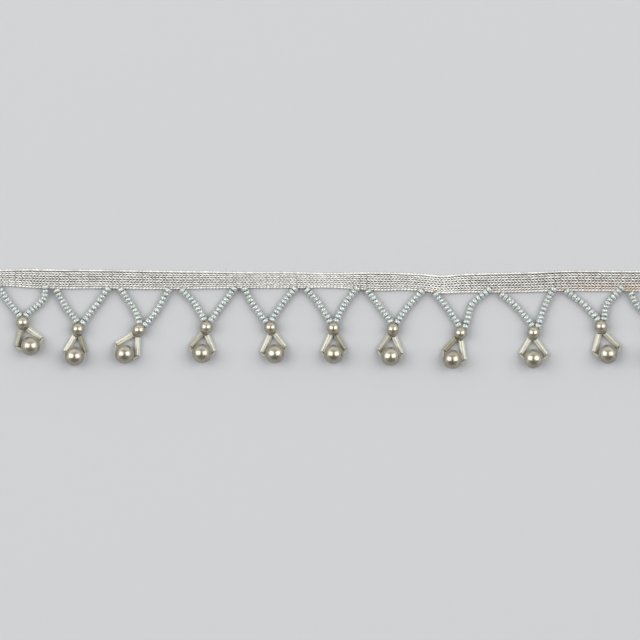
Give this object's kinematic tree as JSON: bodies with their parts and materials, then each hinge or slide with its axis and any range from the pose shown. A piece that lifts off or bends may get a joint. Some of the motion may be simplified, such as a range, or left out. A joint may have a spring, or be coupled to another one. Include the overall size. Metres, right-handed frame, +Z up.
{
  "type": "beaded fringe trim",
  "caption": "Beaded fringe trim: a narrow knitted tape with V-shaped strands of seed beads along one edge, each with a small pearl, two bugle beads and a larger pearl.",
  "frame": {"origin": "under the middle of the trim's box, on the surface that it lies on", "axes": "+X along the tape, +Y across it towards its plain edge, +Z up from the surface; the drops lie to -Y and the face is up"},
  "size_m": [0.2194, 0.0308, 0.006],
  "materials": {
    "tape_yarn": "matt ivory knitted yarn",
    "seed_glass": "opaque pale mint with a soft lustre",
    "pearl_coat": "champagne imitation pearl",
    "bugle_glass": "cream satin glass with lengthwise lines"
  },
  "bodies": {
    "root": {"tape": "tape_yarn", "seed_fringe": "seed_glass", "knot_pearl_01": "pearl_coat", "knot_pearl_02": "pearl_coat", "knot_pearl_03": "pearl_coat", "knot_pearl_04": "pearl_coat", "knot_pearl_05": "pearl_coat", "knot_pearl_06": "pearl_coat", "knot_pearl_07": "pearl_coat", "knot_pearl_08": "pearl_coat", "knot_pearl_09": "pearl_coat", "knot_pearl_10": "pearl_coat", "knot_pearl_11": "pearl_coat", "bugle_left_01": "bugle_glass", "bugle_left_02": "bugle_glass", "bugle_left_03": "bugle_glass", "bugle_left_04": "bugle_glass", "bugle_left_05": "bugle_glass", "bugle_left_06": "bugle_glass", "bugle_left_07": "bugle_glass", "bugle_left_08": "bugle_glass", "bugle_left_09": "bugle_glass", "bugle_left_10": "bugle_glass", "bugle_left_11": "bugle_glass", "bugle_right_01": "bugle_glass", "bugle_right_02": "bugle_glass", "bugle_right_03": "bugle_glass", "bugle_right_04": "bugle_glass", "bugle_right_05": "bugle_glass", "bugle_right_06": "bugle_glass", "bugle_right_07": "bugle_glass", "bugle_right_08": "bugle_glass", "bugle_right_09": "bugle_glass", "bugle_right_10": "bugle_glass", "bugle_right_11": "bugle_glass", "drop_pearl_01": "pearl_coat", "drop_pearl_02": "pearl_coat", "drop_pearl_03": "pearl_coat", "drop_pearl_04": "pearl_coat", "drop_pearl_05": "pearl_coat", "drop_pearl_06": "pearl_coat", "drop_pearl_07": "pearl_coat", "drop_pearl_08": "pearl_coat", "drop_pearl_09": "pearl_coat", "drop_pearl_10": "pearl_coat", "drop_pearl_11": "pearl_coat"}
  },
  "joints": []
}
